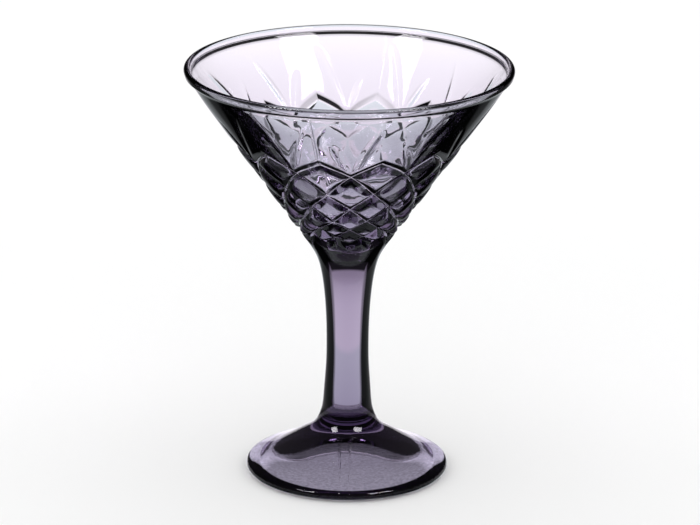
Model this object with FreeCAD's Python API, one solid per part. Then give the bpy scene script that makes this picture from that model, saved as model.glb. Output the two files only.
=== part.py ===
"""Pressed martini glass: a patterned conical bowl, a solid waisted stem and a round foot.

Millimetres, +Z up, origin at the centre of the surface that the glass stands on.
The three pieces meet at flat fused joints at STEM_BOTTOM_Z and BOWL_BOTTOM_Z.
"""
import FreeCAD
import Part
import math
import os

# Driving dimensions
BEAD_RADIUS = 1.2            # rounded top of the rim
BEAD_CENTRE = (58.85, 153.35)
LIP_RADIUS = 0.55            # rounded lip under it
LIP_CENTRE = (59.25, 152.25)
LIP_START = -70              # degrees round the lip where the shoulder meets it
LIP_END = -14                # degrees where the lip meets the rounded top
RIM_INNER_DEGREES = 120      # degrees round the rounded top where it turns down into the cavity
RIM_TOP_DEGREES = 90
WALL_SLOPE = 0.70            # outer wall: radius gained per millimetre of height
WALL_POINT_Z = 66.95         # the point of the outer wall's cone
WALL_TOP_Z = 150.8           # where the wall ends in a shoulder, just under the lip
WALL_TOP_RADIUS = 58.12      # the wall bends in by a fraction of a millimetre near its top
WALL_BEND_Z = 138.0          # where that bend begins
WALL_BEND_MIDWAY = 0.25      # share of the bend reached half way up it
CAVITY_FLOOR_Z = 88.3        # lowest point of the cavity
CAVITY_TIP_RADIUS = 10.6     # rounded bottom of the cavity
CAVITY_SLOPE = 0.76          # where the rounded bottom ends it opens this much per millimetre
BOWL_BOTTOM_Z = 83.0         # fused joint between stem and bowl
STEM_BOTTOM_Z = 20.0         # fused joint between foot and stem
FOOT_RADIUS = 37.4
FOOT_EDGE_RADIUS = 1.6       # rounded edge of the foot
FOOT_SHOULDER = (37.15, 2.6) # between the rounded edge and the foot's slope
RING_INNER = 31.6
CLEARANCE = 1.0              # how far a cutting tool stands out of the surface
REACH = 160.0                # larger than any part of the glass

# Outline from the foot's edge up the stem to the neck of the bowl: (radius, height)
NECK_Z = 88.9
WAIST_OUTLINE = [
    (36.2, 3.3),
    (30.0, 5.9),
    (24.0, 9.2),
    (17.4, 13.2),
    (12.2, 17.2),
    (9.95, 21.5),
    (8.75, 30.0),
    (7.95, 42.0),
    (7.85, 50.0),
    (8.1, 60.0),
    (8.9, 70.0),
    (10.2, 78.0),
    (11.8, 83.0),
    (WALL_SLOPE * (NECK_Z - WALL_POINT_Z), NECK_Z),
]

# Hollow under the foot, from its centre to the ring
UNDERSIDE_OUTLINE = [
    (0.0, 10.0),
    (4.0, 9.6),
    (10.0, 8.0),
    (18.0, 5.1),
    (25.0, 2.65),
    (29.5, 0.92),
    (RING_INNER, 0.0),
]

# Inside of the rim, from the straight cavity wall up to the rounded top
INNER_LIP_OUTLINE = [
    (55.2, 149.0),
    (55.9, 150.1),
    (56.7, 151.4),
    (57.2, 152.4),
    (57.5, 153.2),
    (57.81, 153.95),
]

# Diamond pattern: rings of nodes where the slanting grooves cross
FOLDS = 12                   # lozenges round the bowl
PITCH = 360.0 / FOLDS
SLICE_OFFSET = 4.0           # degrees between a slice's middle and the column in it
PATTERN_TURN = 16.2          # degrees from the front to the first column of rings 0, 2, 4 ...
RING_HEIGHTS = [128.8, 122.9, 114.5, 107.6, 101.7, 97.8, 94.6, 91.8]
GROOVE_DEPTH = 1.4
GROOVE_HALF_WIDTH = 1.8
NODE_OVERRUN = 0.3           # how far a groove runs on past its nodes

# Pointed leaf cuts above the diamonds, two to a node, ground by the edge of a wheel
LEAF_TOP_Z = 147.6           # tip of the leaf that leans towards +angle
SHORT_LEAF_TOP_Z = 140.0     # tip of the other one
LEAF_LEAN = 12.0             # degrees that a full-height leaf leans from bottom to top
LEAF_DEPTH = 0.5
WHEEL_EDGE_ANGLE = 62.0      # half-angle of the wheel's V-shaped edge, degrees
WHEEL_HALF_THICKNESS = 4.0

UP = FreeCAD.Vector(0, 0, 1)
ORIGIN = FreeCAD.Vector(0, 0, 0)


def wall_radius(z):
    """Radius of the smooth outer wall of the bowl at height z."""
    return WALL_SLOPE * (z - WALL_POINT_Z)


def in_section(radius, z):
    return FreeCAD.Vector(radius, 0, z)


def line(a, b):
    return Part.LineSegment(in_section(*a), in_section(*b)).toShape()


def arc(a, middle, b):
    return Part.Arc(in_section(*a), in_section(*middle), in_section(*b)).toShape()


def revolve(edges):
    """Solid of revolution about Z of a closed outline in the XZ plane."""
    face = Part.Face(Part.Wire(edges))
    return face.revolve(ORIGIN, UP, 360)


def on_circle(centre, radius, degrees):
    turn = math.radians(degrees)
    return (centre[0] + radius * math.cos(turn), centre[1] + radius * math.sin(turn))


def spline(points):
    curve = Part.BSplineCurve()
    curve.interpolate([in_section(*p) for p in points])
    return curve.toShape()


def round_part(centre, radius, start, end):
    """Arc about a centre between two angles in degrees."""
    middle = on_circle(centre, radius, (start + end) / 2)
    return arc(on_circle(centre, radius, start), middle, on_circle(centre, radius, end))


def blank():
    """The whole glass before its cavity and pattern: one turned shape, foot to rim."""
    shoulder = (WALL_TOP_RADIUS, WALL_TOP_Z)
    wall_bend = (wall_radius(WALL_BEND_Z), WALL_BEND_Z)
    bend_height = (WALL_BEND_Z + WALL_TOP_Z) / 2
    bend = wall_radius(WALL_TOP_Z) - WALL_TOP_RADIUS
    bend_radius = wall_radius(bend_height) - bend * WALL_BEND_MIDWAY
    lip_start = on_circle(LIP_CENTRE, LIP_RADIUS, LIP_START)
    lip_end = on_circle(LIP_CENTRE, LIP_RADIUS, LIP_END)
    bead_start = on_circle(BEAD_CENTRE, BEAD_RADIUS, LIP_END)
    rim_top = on_circle(BEAD_CENTRE, BEAD_RADIUS, RIM_TOP_DEGREES)
    edge_centre = (FOOT_RADIUS - FOOT_EDGE_RADIUS, FOOT_EDGE_RADIUS)
    edge_start = on_circle(edge_centre, FOOT_EDGE_RADIUS, -90)
    edge_end = on_circle(edge_centre, FOOT_EDGE_RADIUS, 0)
    return revolve([
        spline(UNDERSIDE_OUTLINE),
        line(UNDERSIDE_OUTLINE[-1], edge_start),
        round_part(edge_centre, FOOT_EDGE_RADIUS, -90, 0),
        arc(edge_end, FOOT_SHOULDER, WAIST_OUTLINE[0]),
        spline(WAIST_OUTLINE),
        line(WAIST_OUTLINE[-1], wall_bend),
        arc(wall_bend, (bend_radius, bend_height), shoulder),
        line(shoulder, lip_start),
        round_part(LIP_CENTRE, LIP_RADIUS, LIP_START, LIP_END),
        line(lip_end, bead_start),
        round_part(BEAD_CENTRE, BEAD_RADIUS, LIP_END, RIM_TOP_DEGREES),
        line(rim_top, (0, rim_top[1])),
        line((0, rim_top[1]), UNDERSIDE_OUTLINE[0]),
    ])


def slab(z_low, z_high):
    """A disc wider than the glass, between two heights."""
    return Part.makeCylinder(REACH, z_high - z_low, FreeCAD.Vector(0, 0, z_low), UP)


def cavity():
    """The drink's space: a cone with a rounded bottom, meeting the inside of the rim."""
    tilt = math.degrees(math.atan(CAVITY_SLOPE))
    tip_centre = (0, CAVITY_FLOOR_Z + CAVITY_TIP_RADIUS)
    tangent = on_circle(tip_centre, CAVITY_TIP_RADIUS, -tilt)
    rim_top = on_circle(BEAD_CENTRE, BEAD_RADIUS, RIM_TOP_DEGREES)
    rim_inner = on_circle(BEAD_CENTRE, BEAD_RADIUS, RIM_INNER_DEGREES)
    above = rim_top[1] + CLEARANCE
    return revolve([
        round_part(tip_centre, CAVITY_TIP_RADIUS, -90, -tilt),
        line(tangent, INNER_LIP_OUTLINE[0]),
        spline(INNER_LIP_OUTLINE + [rim_inner, rim_top]),
        line(rim_top, (rim_top[0], above)),
        line((rim_top[0], above), (0, above)),
        line((0, above), (0, CAVITY_FLOOR_Z)),
    ])


def wall_normal(degrees):
    """Outward normal of the outer wall in the direction of degrees."""
    tilt = math.atan(WALL_SLOPE)
    turn = math.radians(degrees)
    level = math.cos(tilt)
    return FreeCAD.Vector(level * math.sin(turn), -level * math.cos(turn), -math.sin(tilt))


def on_wall(degrees, z):
    """Point of the outer wall; degrees turn from the front (-Y) towards +X."""
    turn = math.radians(degrees)
    radius = wall_radius(z)
    return FreeCAD.Vector(radius * math.sin(turn), -radius * math.cos(turn), z)


def groove(start_degrees, end_degrees, ring):
    """V-shaped tool along the straight line between two nodes of neighbouring rings."""
    start = on_wall(start_degrees, RING_HEIGHTS[ring])
    end = on_wall(end_degrees, RING_HEIGHTS[ring + 1])
    out = wall_normal((start_degrees + end_degrees) / 2)
    along = (end - start).normalize()
    side = along.cross(out).normalize()
    out = side.cross(along)
    start = start - along * NODE_OVERRUN
    run = end + along * NODE_OVERRUN - start
    full_width = GROOVE_HALF_WIDTH * (GROOVE_DEPTH + CLEARANCE) / GROOVE_DEPTH
    bottom = start - out * GROOVE_DEPTH
    left = start + out * CLEARANCE + side * full_width
    right = start + out * CLEARANCE - side * full_width
    section = Part.Face(Part.makePolygon([bottom, left, right, bottom]))
    return section.extrude(run)


def lattice(folds):
    """The grooves of the diamond pattern, both ways round, that start in the given folds."""
    tools = []
    for ring in range(len(RING_HEIGHTS) - 1):
        offset = PATTERN_TURN + (PITCH / 2 if ring % 2 else 0)
        for fold in folds:
            start = offset + fold * PITCH
            tools.append(groove(start, start + PITCH / 2, ring))
            tools.append(groove(start, start - PITCH / 2, ring))
    return tools


def leaf(low_degrees, low_z, high_degrees, high_z):
    """Wheel edge, as two thin cones back to back, that grinds one pointed leaf between two points."""
    low = on_wall(low_degrees, low_z)
    high = on_wall(high_degrees, high_z)
    middle = on_wall((low_degrees + high_degrees) / 2, (low_z + high_z) / 2)
    along = (high - low).normalize()
    axis = along.cross(wall_normal((low_degrees + high_degrees) / 2)).normalize()
    out = axis.cross(along)
    half_length = (high - low).Length / 2
    wheel_radius = (half_length ** 2 + LEAF_DEPTH ** 2) / (2 * LEAF_DEPTH)
    hub = middle + out * (wheel_radius - LEAF_DEPTH)
    face_radius = wheel_radius - WHEEL_HALF_THICKNESS / math.tan(math.radians(WHEEL_EDGE_ANGLE))
    wheel = [wheel_radius, face_radius, WHEEL_HALF_THICKNESS, hub]
    return [Part.makeCone(*wheel, axis), Part.makeCone(*wheel, axis * -1)]


def leaves(folds):
    """Two leaves to each fold, fanning out of the node between two top corners."""
    tools = []
    foot_z = RING_HEIGHTS[1]
    for fold in folds:
        column = PATTERN_TURN + (fold + 0.5) * PITCH
        for way, tip_z in ((-1, SHORT_LEAF_TOP_Z), (1, LEAF_TOP_Z)):
            lean = way * LEAF_LEAN * (tip_z - foot_z) / (LEAF_TOP_Z - foot_z)
            tools += leaf(column, foot_z, column + lean, tip_z)
    return tools


def wedge(middle_degrees):
    """One fold's share of space, as a slice from the axis outwards."""
    slice_of_slab = Part.makeCylinder(REACH, REACH, ORIGIN, UP, PITCH)
    slice_of_slab.rotate(ORIGIN, UP, middle_degrees - 90 - PITCH / 2)
    return slice_of_slab


def bowl(glass):
    """The bowl, made as one patterned slice that is repeated round the axis."""
    body = glass.common(slab(BOWL_BOTTOM_Z, REACH)).cut(cavity())
    near = range(-2, 3)
    piece = body.common(wedge(PATTERN_TURN + SLICE_OFFSET)).cut(lattice(near) + leaves(near))
    slices = []
    for fold in range(FOLDS):
        turned = piece.copy()
        turned.rotate(ORIGIN, UP, fold * PITCH)
        slices.append(turned)
    return slices[0].multiFuse(slices[1:]).removeSplitter()


def stem(glass):
    return glass.common(slab(STEM_BOTTOM_Z, BOWL_BOTTOM_Z))


def foot(glass):
    return glass.common(slab(-CLEARANCE, STEM_BOTTOM_Z))


def write(name, shape):
    """Write one node. Each node is a single closed solid."""
    solids = shape.Solids
    if len(solids) != 1 or not solids[0].isValid():
        raise ValueError("%s is not one valid solid: %d" % (name, len(solids)))
    solids[0].exportStep("parts/%s.step" % name)
    print(name, "volume %.1f cm3" % (solids[0].Volume / 1000), "faces", len(solids[0].Faces))


os.makedirs("parts", exist_ok=True)
glass_blank = blank()
write("foot", foot(glass_blank))
write("stem", stem(glass_blank))
write("bowl", bowl(glass_blank))
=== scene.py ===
"""Looks of the pressed martini glass: smoky lavender glass, modelled as three closed pieces.

Lengths are millimetres until they are multiplied by MM, and angles are degrees. Angles round the glass turn
about +Z, 0 at the front (-Y) and positive towards +X. Outlines are points of (radius, height).
"""
import math
import bmesh
import bpy
import numpy as np
from mathutils import Matrix, Vector

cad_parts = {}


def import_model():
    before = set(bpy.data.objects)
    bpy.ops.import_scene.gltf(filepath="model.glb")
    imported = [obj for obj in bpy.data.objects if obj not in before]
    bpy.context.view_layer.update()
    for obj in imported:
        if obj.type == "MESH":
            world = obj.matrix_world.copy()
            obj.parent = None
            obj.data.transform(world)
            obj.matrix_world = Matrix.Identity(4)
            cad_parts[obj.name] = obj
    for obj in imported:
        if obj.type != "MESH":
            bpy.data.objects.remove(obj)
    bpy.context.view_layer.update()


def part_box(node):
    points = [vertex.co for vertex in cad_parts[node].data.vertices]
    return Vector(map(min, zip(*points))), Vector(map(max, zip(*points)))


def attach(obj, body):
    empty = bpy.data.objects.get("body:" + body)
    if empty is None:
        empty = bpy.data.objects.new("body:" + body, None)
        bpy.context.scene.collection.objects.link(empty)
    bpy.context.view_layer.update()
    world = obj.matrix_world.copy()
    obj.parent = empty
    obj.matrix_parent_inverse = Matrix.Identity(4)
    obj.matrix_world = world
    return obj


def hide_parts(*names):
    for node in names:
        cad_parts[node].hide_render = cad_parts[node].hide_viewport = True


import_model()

MM = 0.001

# The glass, from the same driving sizes as the design
BOWL_LOW = np.array(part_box("bowl")[0]) / MM
FOOT_HIGH = np.array(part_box("foot")[1]) / MM
BOWL_BOTTOM = BOWL_LOW[2]
STEM_BOTTOM = FOOT_HIGH[2]
FOOT_RADIUS = FOOT_HIGH[0]
JOINT_GAP = 0.02

# Bowl: the outer wall is a cone, WALL_POINT its tip, that bends inwards a little near the top
WALL_SLOPE = 0.70
WALL_POINT = 66.95
WALL_TOP = 150.8
WALL_BEND_START = 138.0
WALL_BEND = 0.0035
CAVITY_SLOPE = 0.76
CAVITY_BOTTOM = 88.3
CAVITY_TIP_RADIUS = 10.6
NECK_TOP = 87.6
NECK_KNOT = 88.9
NECK_GAP = 0.3

# Rim: a small round lip under the bead, and the angles at which each arc starts and ends
BEAD_RADIUS = 1.2
BEAD_CENTRE = (58.85, 153.35)
LIP_RADIUS = 0.55
LIP_CENTRE = (59.25, 152.25)
LIP_START = -70.0
BEAD_START = -14.0
BEAD_END = 150.0

# Foot: the ring that it rests on, and its rounded edge
RING_INNER = 31.6
RING_OUTER = 35.6
EDGE_RADIUS = 1.6
EDGE_START = -88.0
EDGE_END = 20.0
FOOT_TOP_EDGE = (36.2, 3.3)

# Diamond pattern: FOLDS repeats of a lattice whose rows hang on rings of nodes at these heights
FOLDS = 12
HALF_PITCH = 180.0 / FOLDS
PATTERN_TURN = 16.2
RING_HEIGHTS = (128.8, 122.9, 114.5, 107.6, 101.7, 97.8, 94.6, 91.8, 89.2)
LEAF_RING = RING_HEIGHTS[1]
ROWS = 6
# Grooves: depth, rounding at the bottom, and the slope of their walls
GROOVE_DEPTH = 1.4
GROOVE_ROUND = 0.16
WALL_ANGLE = 36.0
UPPER_WALL_ANGLE = 30.0
# A lozenge's face: how high its middle is over the grooves, how it falls away from there, and how wide
# the crease between it and a groove's wall is rounded
CROWN = 1.65
CROWN_POWER = 2.6
BLEND = 0.10
# How far apart a lozenge's two opposite grooves are, for each millimetre of the wall's radius
LOZENGE_WIDTH = 0.383
# Distance from the nearest border groove for each millimetre of height above or below it
ABOVE_GROOVE = 0.87
BELOW_GROOVE = 0.8
LOWER_BLEND = 0.3
LOWER_FADE = 1.2
UPPER_FADE = 0.6

# Leaf cuts: a long and a short one lean away from each node of the leaf ring
LEAF_DEPTH = 0.40
LEAF_WIDTH = 1.25
LEAF_LEAN = 12.0
LEAF_TOP = 147.6
SHORT_LEAF_TOP = 140.0

# Mould seams: two fine ridges on the bowl, how much shallower the pattern is beside them and how far,
# the height that it settles to there, and how far above the lattice this still holds
SEAM_HEIGHT = 0.10
SEAM_WIDTH = 0.22
SEAM_SOFTENING = 0.55
SEAM_REACH = 9.0
SEAM_LEVEL = -0.5
SEAM_EASE = 6.0

# Fineness of the meshes: spans along each outline, and between neighbouring nodes round the glass
CELL_STEPS = 18
LEAF_STEPS = 10
LOWER_STEPS = 6
UPPER_STEPS = 30
RIM_STEPS = 5
BEAD_STEPS = 20
TIP_STEPS = 14
CAVITY_STEPS = 8
WAIST_STEPS = 14
RING_STEPS = 60
UNDERSIDE_STEPS = 6
EDGE_STEPS = 10
TURN_STEPS = 288
# Points this near are welded, edges this short are dissolved, and heights this near are the same
WELD_DISTANCE = 0.002
SLIVER_LENGTH = 0.0001
SAME_HEIGHT = 0.001

# Colour of the glass, by how light is absorbed on its way through; the density is per metre
CLEAR = (1.0, 1.0, 1.0, 1.0)
ABSORPTION_COLOUR = (0.41, 0.32, 0.49, 1.0)
ABSORPTION_DENSITY = 108.0
GLASS_IOR = 1.5
JOINT_IOR = 1.0

# Painted shade at the edges: how far the glass turns from the eye before its edge is painted dark, as 1 -
# cosine, by height.
# A turn above 1 is never reached, so there the edge stays clear.
EDGE_HEIGHTS = (0.0, 14.0, 26.0, 40.0, 50.0, 67.0, 81.0, 90.0, 160.0)
EDGE_TURNS = (1.3, 1.3, 0.215, 0.24, 0.265, 0.317, 0.365, 0.55, 0.55)
INSIDE_TURN = 1.3
INSIDE_MARGIN = 0.1
STEM_TURN = 0.37
EDGE_SOFTNESS = 0.12
# Base colour of the painted shade where an edge is fully dark
PAINTED_EDGE_SHADE = 0.0005
# Refraction that is left at an edge painted dark: on the stem, and on the bowl
EDGE_IORS = (1.25, 1.06)

# Surface of the glass: scales are features per metre, and the bump's height is in metres
RIPPLE_SCALE = 160.0
RIPPLE_STRENGTH = 0.25
RIPPLE_HEIGHT = 0.00006
HAZE_SCALE = 40.0
HAZE_ROUGHNESS = 0.02

# Mould lines over the foot: where they run beside the middle, how far they waver and how often, half
# their width, their height in ripples, and where they fade out on the way up
MOULD_LINES = (-2.7, 1.0)
MOULD_WAVER = 0.9
MOULD_WAVER_SCALE = 220.0
MOULD_WIDTH = 0.35
MOULD_HEIGHT = 32.0
MOULD_TOP = 17.0
MOULD_FADE = 4.0

# Studio dome, in metres
DOME_RADIUS = 3.0
DOME_SEGMENTS = 48
# Its light, as the glass sees it: azimuth from straight behind, then elevation, each as low, high and
# softness, then brightness. Zones add up.
ALL_ROUND = (-400.0, 400.0, 1.0)
BEHIND = (-26.5, 26.5, 2.5)
LIGHT_ZONES = (
    (ALL_ROUND, (-100.0, 100.0, 1.0), 0.03),  # faint light everywhere
    (ALL_ROUND, (-35.0, -0.5, 1.5), 0.45),  # the room all round, below the horizon
    (ALL_ROUND, (-120.0, -58.0, 4.0), 0.6),  # the table, seen from high above
    (BEHIND, (-46.0, -0.5, 1.5), 0.34),  # the bright sweep behind
    (BEHIND, (-46.0, -8.0, 5.0), 0.4),  # brighter lower down
    (BEHIND, (-46.0, -35.0, 1.5), 0.45),  # brightest at its foot
    ((-137.0, -115.0, 1.5), (33.0, 52.0, 1.5), 12.0),  # the window on the left
    ((118.0, 150.0, 1.5), (34.0, 51.0, 1.5), 12.0),  # the window on the right
)
# Where the wall behind gives way to the table: elevation straight behind, how much it rises to the
# sides (radians per radian of azimuth squared) and its softness, then the colour of each
TABLE_LINE = -19.4
TABLE_LINE_RISE = 0.08
TABLE_LINE_EDGE = 0.8
TABLE_COLOUR = (0.81, 0.86, 0.9, 1.0)
WALL_COLOUR = (1.0, 0.965, 1.03, 1.0)

# Table under the foot, a glowing disc with painted light and shade: its darkest and lightest grains, and
# the grey of the noise that gives them
TABLE_RADIUS = 36.0
TABLE_DROP = 0.3
TABLE_SEGMENTS = 96
TABLE_DISC_COLOUR = (0.9, 0.87, 1.04, 1.0)
TABLE_LIGHT = (0.31, 0.53)
GRAIN_GREYS = (0.3, 0.7)
GRAIN_SCALE = 900.0
GRAIN_DETAIL = 3.0
# Painted shadow of the foot on the table: it ends beside the middle, sooner further back, and the table is
# painted lighter outside it
SHADE_SLANT = 0.3
SHADE_INNER = 25.0
SHADE_OUTER = 30.0
OPEN_TABLE_GAIN = 2.7

# Floor and backdrop
FLOOR_REACH = 6000.0
FLOOR_DROP = 0.6
FLOOR_COLOUR = (0.92, 0.92, 0.92, 1.0)
FLOOR_ROUGHNESS = 0.9
SKY_COLOUR = (1.0, 1.0, 1.0, 1.0)
SKY_STRENGTH = 1.1

# Camera: where it looks, how far it stands off, how high and how much it rolls
CAMERA_TARGET = (0.7, 0.0, 79.6)
CAMERA_DISTANCE = 1500.0
CAMERA_ELEVATION = 18.1
CAMERA_ROLL = 0.38
CAMERA_LENS = 209.8
CAMERA_SENSOR = 36.0
CAMERA_CLIP = (50.0, 50000.0)
GLASS_BOUNCES = 32
GLOSS_BOUNCES = 16


# Curves

def smooth_min(a, b, width):
    """The lesser of two heights, with the crease between them rounded over width."""
    share = np.clip(0.5 + 0.5 * (b - a) / width, 0.0, 1.0)
    return b + (a - b) * share - width * share * (1.0 - share)


def graded(steps):
    """Values from 0 to 1, closest together at both ends."""
    return 0.5 - 0.5 * np.cos(np.linspace(0.0, math.pi, steps + 1))


def arc(centre, radius, start, end, steps):
    """Points of an arc."""
    turn = np.radians(np.linspace(start, end, steps + 1))
    return np.stack([centre[0] + radius * np.cos(turn), centre[1] + radius * np.sin(turn)], -1)


def natural_spline(points, steps):
    """Smooth curve through points, steps to each span."""
    points = np.asarray(points, float)
    chord = np.hypot(*np.diff(points, axis=0).T)
    slope = np.diff(points, axis=0) / chord[:, None]
    n = len(points)
    system = np.eye(n)
    right = np.zeros((n, 2))
    for i in range(1, n - 1):
        system[i, i - 1] = chord[i - 1]
        system[i, i] = 2 * (chord[i - 1] + chord[i])
        system[i, i + 1] = chord[i]
        right[i] = 6 * (slope[i] - slope[i - 1])
    bend = np.linalg.solve(system, right)
    out = [points[:1]]
    for i in range(n - 1):
        h = chord[i]
        t = np.linspace(0, h, steps + 1)[1:, None]
        out.append(
            (bend[i] * (h - t) ** 3 + bend[i + 1] * t ** 3) / (6 * h)
            + (points[i] / h - bend[i] * h / 6) * (h - t)
            + (points[i + 1] / h - bend[i + 1] * h / 6) * t
        )
    return np.concatenate(out)


def wall_radius(z):
    """Radius of the bowl's outer wall at a height, before the pattern is cut."""
    bend = WALL_BEND * np.maximum(z - WALL_BEND_START, 0.0) ** 2
    return WALL_SLOPE * (z - WALL_POINT) - bend


def waist_between(low, high):
    """The outline of stem and foot between two heights, lowest first."""
    curve = natural_spline(WAIST_OUTLINE, WAIST_STEPS)
    ends = np.interp([low, high], curve[:, 1], curve[:, 0])
    inner = curve[(curve[:, 1] > low + SAME_HEIGHT) & (curve[:, 1] < high - SAME_HEIGHT)]
    return np.concatenate([[[ends[0], low]], inner, [[ends[1], high]]])


SHOULDER_OUTLINE = [
    (wall_radius(WALL_TOP), WALL_TOP), (58.75, 151.2), (59.44, 151.73),
]
INNER_LIP_OUTLINE = [
    (57.81, 153.95), (57.5, 153.2), (57.2, 152.4), (56.7, 151.4), (55.9, 150.1), (55.2, 149.0),
]
WAIST_OUTLINE = [
    FOOT_TOP_EDGE, (30.0, 5.9), (24.0, 9.2), (17.4, 13.2), (12.2, 17.2), (9.95, 21.5), (8.75, 30.0),
    (7.95, 42.0), (7.85, 50.0), (8.1, 60.0), (8.9, 70.0), (10.2, 78.0), (11.8, 83.0),
    (wall_radius(NECK_KNOT), NECK_KNOT),
]
UNDERSIDE_OUTLINE = [
    (0.0, 10.0), (4.0, 9.6), (10.0, 8.0), (18.0, 5.1), (25.0, 2.65), (29.5, 0.92), (31.0, 0.2),
]
FOOT_SHOULDER_OUTLINE = [(37.15, 2.6), (36.8, 3.0)]
RING_CURVE = natural_spline(list(enumerate(RING_HEIGHTS)), RING_STEPS)


# Pattern

def ring_height(u):
    """Height of lattice row u; whole numbers are rings of nodes, 0 the top one."""
    return np.interp(u, RING_CURVE[:, 0], RING_CURVE[:, 1])


def wall_point(theta, z, out):
    """Points of the outer wall, moved out along its normal by out."""
    tilt = math.atan(WALL_SLOPE)
    turn = np.radians(theta)
    radius = wall_radius(z) + out * math.cos(tilt)
    return np.stack([radius * np.sin(turn), -radius * np.cos(turn), z - out * math.sin(tilt)], -1)


def groove_wall(distance, angle=WALL_ANGLE):
    """Height of a groove's rounded V-shaped wall at a distance from its bottom line."""
    rounded = np.sqrt(distance ** 2 + GROOVE_ROUND ** 2) - GROOVE_ROUND
    return math.tan(math.radians(angle)) * rounded


def lozenge_relief(a, b, radius):
    """Height over the wall's datum inside one lozenge; a and b run from 0 to 1 across it."""
    edge = np.minimum(np.minimum(a, 1 - a), np.minimum(b, 1 - b)) * LOZENGE_WIDTH * radius
    x = np.abs(a + b - 1.0)
    y = np.abs(a - b)
    crown = CROWN * (1.0 - x ** CROWN_POWER - y ** CROWN_POWER)
    return smooth_min(groove_wall(edge), crown, BLEND) - GROOVE_DEPTH


def leaf_lean(z):
    """Angle between a leaf's middle line at height z and the node that it starts from."""
    return LEAF_LEAN * (z - LEAF_RING) / (LEAF_TOP - LEAF_RING)


def leaf_relief(theta, z, centre_column):
    """Depth cut by the pair of leaves that fan out of one node; zero where there is none."""
    depth = np.zeros_like(z)
    for way, tip in ((-1, SHORT_LEAF_TOP), (1, LEAF_TOP)):
        line = centre_column + way * leaf_lean(z)
        across = np.abs(theta - line) * math.pi / 180.0 * wall_radius(z)
        t = (z - LEAF_RING) / (tip - LEAF_RING)
        reach = LEAF_DEPTH * np.clip(4.0 * t * (1.0 - t), 0.0, 1.0)
        depth = np.maximum(depth, reach * np.exp(-((across / LEAF_WIDTH) ** 2)))
    return depth


def from_seam(theta):
    """Angle from the nearer of the two mould seams."""
    return (theta - PATTERN_TURN + 2 * HALF_PITCH + 90.0) % 180.0 - 90.0


def softened(relief, theta):
    """The pattern is shallower beside the seams, where the mould has been dressed."""
    share = 1.0 - SEAM_SOFTENING * np.exp(-((from_seam(theta) / SEAM_REACH) ** 2))
    return SEAM_LEVEL + (relief - SEAM_LEVEL) * share


def seam_ridge(theta, z):
    """Fine ridge where the two halves of the mould met."""
    across = np.radians(from_seam(theta)) * wall_radius(z)
    return SEAM_HEIGHT * np.exp(-((across / SEAM_WIDTH) ** 2))


def zigzag(theta):
    """Lattice row of the pattern's top border at an angle: 0 at top nodes, 1 at the nodes between."""
    v = (theta - PATTERN_TURN) / HALF_PITCH
    return np.abs((v + 1.0) % 2.0 - 1.0)


def upper_relief(theta, z):
    """Height over the datum above the pattern: flat, but for the top grooves' walls, leaves and seams."""
    above = np.maximum(z - ring_height(zigzag(theta)), 0.0)
    groove = groove_wall(above * ABOVE_GROOVE, UPPER_WALL_ANGLE)
    level = smooth_min(groove, np.full_like(z, GROOVE_DEPTH), BLEND)
    grooves = softened(level - GROOVE_DEPTH, theta)
    eased = np.clip(above / SEAM_EASE, 0.0, 1.0)
    grooves = grooves * (1 - eased) + np.maximum(level - GROOVE_DEPTH, grooves) * eased
    pitches = np.round((theta - PATTERN_TURN - HALF_PITCH) / (2 * HALF_PITCH))
    column = PATTERN_TURN + HALF_PITCH + 2 * HALF_PITCH * pitches
    return np.minimum(grooves, -leaf_relief(theta, z, column)) + seam_ridge(theta, z)


def upper_wall_point(theta, z):
    """Points of the wall above the lattice; its relief fades out towards the rim."""
    fade = np.clip((WALL_TOP - z) / UPPER_FADE, 0.0, 1.0)
    return wall_point(theta, z, upper_relief(theta, z) * fade)


# Meshes

class Shell:
    """Collects patches of points as quads, then becomes one closed mesh."""

    def __init__(self):
        self.points = []
        self.faces = []
        self.count = 0

    def patch(self, grid, flip=False):
        """A grid of points, rows by columns, as quads."""
        rows, columns = grid.shape[:2]
        self.points.append(grid.reshape(-1, 3))
        index = np.arange(rows * columns).reshape(rows, columns) + self.count
        self.count += rows * columns
        quads = np.stack([index[:-1, :-1], index[:-1, 1:], index[1:, 1:], index[1:, :-1]], -1)
        quads = quads.reshape(-1, 4)
        self.faces.append(quads[:, ::-1] if flip else quads)

    def to_object(self, name):
        """Weld the patches, cap the open ends, mark the caps as joints and make the object."""
        mesh = bpy.data.meshes.new(name)
        points = np.concatenate(self.points) * MM
        faces = np.concatenate(self.faces)
        mesh.from_pydata(points.tolist(), [], faces.tolist())
        work = bmesh.new()
        work.from_mesh(mesh)
        bmesh.ops.remove_doubles(work, verts=work.verts, dist=WELD_DISTANCE * MM)
        bmesh.ops.dissolve_degenerate(work, edges=work.edges, dist=SLIVER_LENGTH * MM)
        joint = work.faces.layers.float.new("joint")
        open_edges = [edge for edge in work.edges if edge.is_boundary]
        if open_edges:
            caps = bmesh.ops.holes_fill(work, edges=open_edges, sides=0)["faces"]
            caps = bmesh.ops.triangulate(work, faces=caps)["faces"]
            for face in caps:
                face[joint] = 1.0
        bmesh.ops.recalc_face_normals(work, faces=work.faces)
        for face in work.faces:
            face.smooth = face[joint] < 0.5
        for edge in work.edges:
            levels = [face[joint] for face in edge.link_faces]
            edge.smooth = min(levels) == max(levels)
        work.to_mesh(mesh)
        stray = sum(1 for edge in work.edges if len(edge.link_faces) != 2)
        print(name, len(work.faces), "faces,", stray, "open or doubled edges")
        work.free()
        mark_edge_turns(mesh)
        return linked_object(name, mesh)


def linked_object(name, data):
    """An object in the scene."""
    made = bpy.data.objects.new(name, data)
    bpy.context.scene.collection.objects.link(made)
    return made


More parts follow.
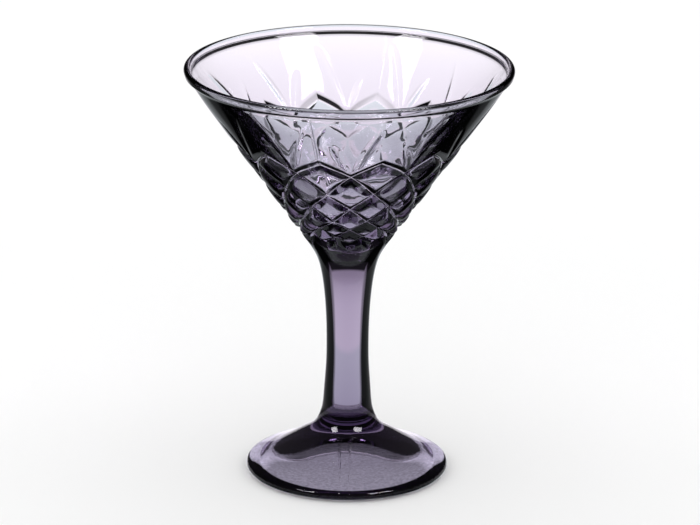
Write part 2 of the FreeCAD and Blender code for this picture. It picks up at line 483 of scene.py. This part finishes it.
def mark_edge_turns(mesh):
    """Mark every point with the turn from the eye at which the glass there is painted dark, as painted
    shade on its edges.
    """
    place = np.zeros(3 * len(mesh.vertices))
    mesh.vertices.foreach_get("co", place)
    x, y, z = place.reshape(-1, 3).T / MM
    turn = np.interp(z, EDGE_HEIGHTS, EDGE_TURNS)
    outer_skin = wall_radius(z) - GROOVE_DEPTH - INSIDE_MARGIN
    inside = (z > CAVITY_BOTTOM - INSIDE_MARGIN) & (np.hypot(x, y) < outer_skin)
    turn[inside] = INSIDE_TURN
    mesh.attributes.new("edge_turn", "FLOAT", "POINT").data.foreach_set("value", turn)


def turned(profile, thetas):
    """Grid of an outline turned through the angles thetas."""
    profile = np.asarray(profile, float)
    turn = np.radians(thetas)
    radius = profile[:, 0][:, None]
    height = profile[:, 1][:, None]
    return np.stack([
        radius * np.sin(turn)[None, :],
        -radius * np.cos(turn)[None, :],
        np.broadcast_to(height, (len(profile), len(turn))),
    ], -1)


def closed_circle(stretches):
    """Angles once round the glass, from stretches that each end where the next one starts."""
    angles = np.concatenate([stretch[:-1] for stretch in stretches])
    return np.append(angles, angles[0] + 360.0)


# Bowl

def lozenges(shell):
    """The lattice: rows of lozenges, each a fine grid whose edges are the groove lines."""
    steps = graded(CELL_STEPS)
    a, b = np.meshgrid(steps, steps, indexing="ij")
    for row in range(ROWS):
        for fold in range(FOLDS):
            u = row + a + b
            v = row % 2 + 2 * fold + a - b
            theta = PATTERN_TURN + HALF_PITCH * v
            z = ring_height(u)
            relief = softened(lozenge_relief(a, b, wall_radius(z)), theta)
            shell.patch(wall_point(theta, z, relief + seam_ridge(theta, z)))


def lower_border(shell):
    """From the lattice's lowest grooves down to the round top of the neck."""
    across = graded(CELL_STEPS)
    down = np.linspace(0.0, 1.0, LOWER_STEPS + 1)[:, None]
    for half in range(2 * FOLDS):
        if (ROWS + half) % 2 == 0:
            u = ROWS + across
        else:
            u = ROWS + 1 - across
        theta = PATTERN_TURN + HALF_PITCH * (half + across)[None, :]
        top = ring_height(u)[None, :]
        z = top + (NECK_TOP - top) * down
        groove = groove_wall((top - z) * BELOW_GROOVE)
        relief = smooth_min(groove, np.full_like(z, GROOVE_DEPTH), LOWER_BLEND) - GROOVE_DEPTH
        relief = softened(relief, theta) + seam_ridge(theta, z)
        fade = np.clip((z - NECK_TOP) / LOWER_FADE, 0.0, 1.0)
        fade[0] = 1.0
        shell.patch(wall_point(np.broadcast_to(theta, z.shape), z, relief * fade), flip=True)


def upper_wall(shell):
    """The plain wall above the lattice: each half cell is a fan along its leaf and a fan beside it."""
    rise = np.linspace(0.0, 1.0, UPPER_STEPS + 1)[:, None]
    along = graded(LEAF_STEPS)[None, :]
    beside = graded(CELL_STEPS)[None, :]
    for half in range(2 * FOLDS):
        start = PATTERN_TURN + HALF_PITCH * half
        if half % 2 == 1:
            leaf_node, top_node, way = start, start + HALF_PITCH, 1
        else:
            leaf_node, top_node, way = start + HALF_PITCH, start, -1
        leaf_end = leaf_node + way * leaf_lean(WALL_TOP)
        theta = leaf_node + (leaf_end - leaf_node) * rise * along
        z = np.broadcast_to(LEAF_RING + (WALL_TOP - LEAF_RING) * rise, theta.shape)
        shell.patch(upper_wall_point(theta, z), flip=way < 0)
        low_z = ring_height(1.0 - beside)
        z = low_z + (WALL_TOP - low_z) * rise
        low_theta = leaf_node + (top_node - leaf_node) * beside
        high_theta = leaf_end + (top_node - leaf_end) * beside
        theta = low_theta + (high_theta - low_theta) * rise
        shell.patch(upper_wall_point(theta, z), flip=way < 0)


def wall_top_angles():
    """Angles of the upper wall's points at its top, for what is welded to it there."""
    leaf = leaf_lean(WALL_TOP)
    beside = leaf + (HALF_PITCH - leaf) * graded(CELL_STEPS)
    from_node = np.concatenate([leaf * graded(LEAF_STEPS)[:-1], beside])
    stretches = []
    for half in range(2 * FOLDS):
        turn = from_node if half % 2 == 1 else (HALF_PITCH - from_node)[::-1]
        stretches.append(PATTERN_TURN + HALF_PITCH * half + turn)
    return closed_circle(stretches)


def neck_top_angles():
    """Angles of the lower border's points at its lowest, for the neck that is welded to it there."""
    across = graded(CELL_STEPS)
    return closed_circle([PATTERN_TURN + HALF_PITCH * (half + across) for half in range(2 * FOLDS)])


def rim_outline():
    """From the wall's top out round the lip, over the bead and down its inner side."""
    return np.concatenate([
        natural_spline(SHOULDER_OUTLINE, RIM_STEPS),
        arc(LIP_CENTRE, LIP_RADIUS, LIP_START, BEAD_START, RIM_STEPS),
        arc(BEAD_CENTRE, BEAD_RADIUS, BEAD_START, BEAD_END, BEAD_STEPS),
        natural_spline(INNER_LIP_OUTLINE, RIM_STEPS),
    ])


def cavity_outline(start):
    """From start straight down the inside of the cone and round its tip to the middle."""
    tilt = math.degrees(math.atan(CAVITY_SLOPE))
    centre = (0, CAVITY_BOTTOM + CAVITY_TIP_RADIUS)
    tip = arc(centre, CAVITY_TIP_RADIUS, -tilt, -90, TIP_STEPS)
    tip[-1, 0] = 0.0
    share = np.linspace(0, 1, CAVITY_STEPS + 1)[:, None]
    wall = start + (tip[0] - start) * share
    return np.concatenate([wall, tip[1:]])


def neck_outline():
    """From the joint with the stem up to the lower border."""
    neck = waist_between(BOWL_BOTTOM, NECK_KNOT)
    neck = neck[neck[:, 1] < NECK_TOP - NECK_GAP]
    return np.concatenate([neck, [(wall_radius(NECK_TOP), NECK_TOP)]])


def bowl_piece():
    """Bowl: patterned outer wall, rim, cavity and neck, open only at its joint."""
    shell = Shell()
    lozenges(shell)
    lower_border(shell)
    upper_wall(shell)
    top = wall_top_angles()
    rim = rim_outline()
    shell.patch(turned(rim, top), flip=True)
    shell.patch(turned(cavity_outline(rim[-1]), top), flip=True)
    shell.patch(turned(neck_outline(), neck_top_angles()))
    return shell.to_object("glass_bowl")


# Stem and foot

def turned_piece(name, profile):
    """A piece with no pattern, from its outline."""
    shell = Shell()
    shell.patch(turned(profile, np.linspace(0, 360, TURN_STEPS + 1)))
    return shell.to_object(name)


def stem_piece():
    """Stem: solid, with a joint at each end."""
    return turned_piece("glass_stem", waist_between(STEM_BOTTOM + JOINT_GAP, BOWL_BOTTOM - JOINT_GAP))


def foot_piece():
    """Foot: hollowed underneath, flat on its resting ring, rounded at its edge."""
    edge_centre = (FOOT_RADIUS - EDGE_RADIUS, EDGE_RADIUS)
    return turned_piece("glass_foot", np.concatenate([
        natural_spline(UNDERSIDE_OUTLINE, UNDERSIDE_STEPS),
        [(RING_INNER, 0.0), (RING_OUTER, 0.0)],
        arc(edge_centre, EDGE_RADIUS, EDGE_START, EDGE_END, EDGE_STEPS),
        FOOT_SHOULDER_OUTLINE,
        waist_between(FOOT_TOP_EDGE[1], STEM_BOTTOM),
    ]))


# Material nodes

def empty_material(name):
    """A material without nodes, and its node tree."""
    material = bpy.data.materials.new(name)
    material.use_nodes = True
    material.node_tree.nodes.clear()
    return material, material.node_tree


def add(tree, kind, inputs, **settings):
    """A new node; each of its inputs is given a value, or another node's output to follow."""
    made = tree.nodes.new("ShaderNode" + kind)
    for name, value in settings.items():
        setattr(made, name, value)
    for name, value in inputs.items():
        if isinstance(value, bpy.types.NodeSocket):
            tree.links.new(value, made.inputs[name])
        else:
            made.inputs[name].default_value = value
    return made


def maths(tree, operation, *values):
    """The result of an operation on values or other nodes' outputs."""
    return add(tree, "Math", dict(enumerate(values)), operation=operation).outputs["Value"]


def ramp(tree, value, start, end, low=0.0, high=1.0, smooth=False):
    """A value that goes from low to high while another one goes from start to end."""
    inputs = {"Value": value, "From Min": start, "From Max": end, "To Min": low, "To Max": high}
    kind = "SMOOTHSTEP" if smooth else "LINEAR"
    return add(tree, "MapRange", inputs, interpolation_type=kind).outputs["Result"]


def smooth_window(tree, value, low, high, edge):
    """1 between low and high, 0 outside, with smooth edges."""
    rise = ramp(tree, value, low - edge, low + edge, smooth=True)
    fall = ramp(tree, value, high + edge, high - edge, smooth=True)
    return maths(tree, "MULTIPLY", rise, fall)


def noise(tree, place, scale, detail=2.0):
    """A noise texture's grey."""
    return add(tree, "TexNoise", {"Vector": place, "Scale": scale, "Detail": detail}).outputs["Fac"]


def attribute(tree, name):
    """A mesh attribute's value."""
    return add(tree, "Attribute", {}, attribute_name=name).outputs["Fac"]


def object_place(tree):
    """The place on the object, in metres from its origin."""
    return add(tree, "TexCoord", {}).outputs["Object"]


def glow(tree, colour, strength):
    """Ends a tree in light of this colour and strength."""
    emit = add(tree, "Emission", {"Color": colour, "Strength": strength})
    add(tree, "OutputMaterial", {"Surface": emit.outputs["Emission"]})


# Glass

def mould_lines(tree, place, height):
    """Adds two faint wavering mould lines, over the foot from front to back, to a bump height."""
    split = add(tree, "SeparateXYZ", {0: place})
    waver = noise(tree, place, MOULD_WAVER_SCALE)
    side = maths(tree, "MULTIPLY_ADD", waver, MOULD_WAVER * MM, split.outputs["X"])
    low = ramp(tree, split.outputs["Z"], MOULD_TOP * MM, (MOULD_TOP - MOULD_FADE) * MM)
    for line in MOULD_LINES:
        middle = (line + MOULD_WAVER / 2) * MM
        ridge = smooth_window(tree, side, middle, middle, MOULD_WIDTH * MM)
        faded = maths(tree, "MULTIPLY", ridge, low)
        height = maths(tree, "MULTIPLY_ADD", faded, MOULD_HEIGHT, height)
    return height


def glass_material():
    """Smoky glass: clear surface, colour by absorption, slight waviness of pressed glass.

    Edges that turn far from the eye get painted shade, a near-black base colour, and bend light less, and
    fused joints don't bend it at all.
    """
    material, tree = empty_material("smoky_glass")
    limit = attribute(tree, "edge_turn")
    facing = add(tree, "LayerWeight", {"Blend": 0.5}).outputs["Facing"]  # 1 - cosine
    past = maths(tree, "DIVIDE", facing, limit)
    # Painted shade: the base colour falls from clear to near black as the surface turns from the eye
    clear = ramp(tree, past, 1.0 - EDGE_SOFTNESS, 1.0 + EDGE_SOFTNESS, 1.0, PAINTED_EDGE_SHADE, smooth=True)
    edge_ior = ramp(tree, limit, STEM_TURN, EDGE_TURNS[-1], *EDGE_IORS)
    surface_ior = ramp(tree, clear, 0.0, 1.0, edge_ior, GLASS_IOR)
    place = object_place(tree)
    ripple = noise(tree, place, RIPPLE_SCALE)
    bump = add(tree, "Bump", {
        "Strength": RIPPLE_STRENGTH,
        "Distance": RIPPLE_HEIGHT,
        "Height": mould_lines(tree, place, ripple),
    })
    shader = add(tree, "BsdfPrincipled", {
        "Base Color": CLEAR,
        "Transmission Weight": 1.0,
        "IOR": ramp(tree, attribute(tree, "joint"), 0.0, 1.0, surface_ior, JOINT_IOR),
        "Roughness": ramp(tree, noise(tree, place, HAZE_SCALE), 0.0, 1.0, 0.0, HAZE_ROUGHNESS),
        "Normal": bump.outputs["Normal"],
    })
    # The glass's own colour is clear; the link paints shade on its edges, near black as they turn from the
    # eye
    tree.links.new(clear, shader.inputs["Base Color"])
    absorb = add(tree, "VolumeAbsorption", {"Color": ABSORPTION_COLOUR, "Density": ABSORPTION_DENSITY})
    add(tree, "OutputMaterial", {"Surface": shader.outputs["BSDF"], "Volume": absorb.outputs["Volume"]})
    return material


# Studio

def seen_by_glass_only(piece):
    """Hides a studio piece from everything but the glass's reflections and refractions."""
    piece.visible_camera = False
    piece.visible_diffuse = False
    piece.visible_shadow = False


def dome_light(tree, azimuth, elevation):
    """Brightness of the dome: the sum of its zones."""
    light = 0.0
    for across, up, power in LIGHT_ZONES:
        wide = smooth_window(tree, azimuth, *map(math.radians, across))
        tall = smooth_window(tree, elevation, *map(math.radians, up))
        zone = maths(tree, "MULTIPLY", wide, tall)
        light = maths(tree, "MULTIPLY_ADD", zone, power, light)
    return light


def dome_colour(tree, azimuth, elevation):
    """Colour of the dome: the table below a curved line, the wall above it."""
    squared = maths(tree, "MULTIPLY", azimuth, azimuth)
    level = maths(tree, "MULTIPLY_ADD", squared, -TABLE_LINE_RISE, elevation)
    start = math.radians(TABLE_LINE - TABLE_LINE_EDGE)
    end = math.radians(TABLE_LINE + TABLE_LINE_EDGE)
    inputs = {"A": TABLE_COLOUR, "B": WALL_COLOUR, "Factor": ramp(tree, level, start, end, smooth=True)}
    return add(tree, "Mix", inputs, data_type="RGBA").outputs["Result"]


def dome():
    """Dome with the room's light: a bright sweep low behind the glass, two windows, dim all round."""
    mesh = bpy.data.meshes.new("studio_dome")
    work = bmesh.new()
    bmesh.ops.create_uvsphere(
        work, u_segments=DOME_SEGMENTS, v_segments=DOME_SEGMENTS // 2, radius=DOME_RADIUS)
    work.to_mesh(mesh)
    work.free()
    material, tree = empty_material("studio_dome")
    outward = add(tree, "VectorMath", {0: object_place(tree)}, operation="NORMALIZE")
    split = add(tree, "SeparateXYZ", {0: outward.outputs["Vector"]})
    azimuth = maths(tree, "ARCTAN2", split.outputs["X"], split.outputs["Y"])
    elevation = maths(tree, "ARCSINE", split.outputs["Z"])
    glow(tree, dome_colour(tree, azimuth, elevation), dome_light(tree, azimuth, elevation))
    mesh.materials.append(material)
    piece = linked_object("studio_dome", mesh)
    seen_by_glass_only(piece)


def table_light(tree):
    """Glow of the table under the foot: grainy, with a painted shadow of the foot and painted light outside
    it.
    """
    place = object_place(tree)
    grain = noise(tree, place, GRAIN_SCALE, GRAIN_DETAIL)
    level = ramp(tree, grain, *GRAIN_GREYS, *TABLE_LIGHT)
    split = add(tree, "SeparateXYZ", {0: place})
    beside = maths(tree, "ABSOLUTE", split.outputs["X"])
    reach = maths(tree, "MULTIPLY_ADD", split.outputs["Y"], SHADE_SLANT, beside)
    gain = ramp(tree, reach, SHADE_INNER * MM, SHADE_OUTER * MM, 1.0, OPEN_TABLE_GAIN)
    return maths(tree, "MULTIPLY", level, gain)


def table_disc():
    """The table under the foot, as seen through the glass: a glowing disc, painted dimmer than the rest as
    the foot's shadow, and finely grained.
    """
    mesh = bpy.data.meshes.new("table_disc")
    work = bmesh.new()
    bmesh.ops.create_circle(work, cap_ends=True, segments=TABLE_SEGMENTS, radius=TABLE_RADIUS * MM)
    bmesh.ops.translate(work, verts=work.verts, vec=(0, 0, -TABLE_DROP * MM))
    work.to_mesh(mesh)
    work.free()
    material, tree = empty_material("table_disc")
    # The disc glows with painted light and shade instead of being lit
    glow(tree, TABLE_DISC_COLOUR, table_light(tree))
    mesh.materials.append(material)
    piece = linked_object("table_disc", mesh)
    seen_by_glass_only(piece)


def floor():
    """Pale floor, for the camera and the glass's own shadow; the glass doesn't mirror or refract it."""
    reach = FLOOR_REACH * MM
    corners = [(x * reach, y * reach, -FLOOR_DROP * MM) for x, y in ((-1, -1), (1, -1), (1, 1), (-1, 1))]
    mesh = bpy.data.meshes.new("floor")
    mesh.from_pydata(corners, [], [(0, 1, 2, 3)])
    material, tree = empty_material("floor")
    shader = add(tree, "BsdfPrincipled", {
        "Base Color": FLOOR_COLOUR,
        "Roughness": FLOOR_ROUGHNESS,
        "Specular IOR Level": 0.0,
    })
    add(tree, "OutputMaterial", {"Surface": shader.outputs["BSDF"]})
    mesh.materials.append(material)
    piece = linked_object("floor", mesh)
    piece.visible_transmission = False
    piece.visible_glossy = False


def world():
    """Plain soft white all round, for the floor and the backdrop."""
    sky = bpy.data.worlds.new("studio")
    bpy.context.scene.world = sky
    sky.use_nodes = True
    background = sky.node_tree.nodes["Background"]
    background.inputs["Color"].default_value = SKY_COLOUR
    background.inputs["Strength"].default_value = SKY_STRENGTH
    sky.cycles.sampling_method = "NONE"


def camera():
    """The viewing angle: a long lens, a little above the rim, with a slight roll."""
    data = bpy.data.cameras.new("camera")
    data.lens = CAMERA_LENS
    data.sensor_width = CAMERA_SENSOR
    data.clip_start, data.clip_end = [distance * MM for distance in CAMERA_CLIP]
    eye = linked_object("camera", data)
    elevation = math.radians(CAMERA_ELEVATION)
    back = Vector((0, -math.cos(elevation), math.sin(elevation)))
    target = Vector([side * MM for side in CAMERA_TARGET])
    eye.location = target + back * (CAMERA_DISTANCE * MM)
    aim = (-back).to_track_quat("-Z", "Y").to_matrix().to_4x4()
    roll = Matrix.Rotation(math.radians(CAMERA_ROLL), 4, "Z")
    eye.matrix_world = Matrix.Translation(eye.location) @ aim @ roll
    bpy.context.scene.camera = eye


def picture():
    """Plain colours, and enough bounces for light to get through all the layers of glass."""
    scene = bpy.context.scene
    scene.view_settings.view_transform = "Standard"
    scene.cycles.max_bounces = GLASS_BOUNCES
    scene.cycles.transmission_bounces = GLASS_BOUNCES
    scene.cycles.glossy_bounces = GLOSS_BOUNCES


camera()
world()
floor()
dome()
table_disc()
picture()
glass = glass_material()
for piece, cad_node in ((bowl_piece(), "bowl"), (stem_piece(), "stem"), (foot_piece(), "foot")):
    piece.data.materials.append(glass)
    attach(piece, "root")
    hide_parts(cad_node)
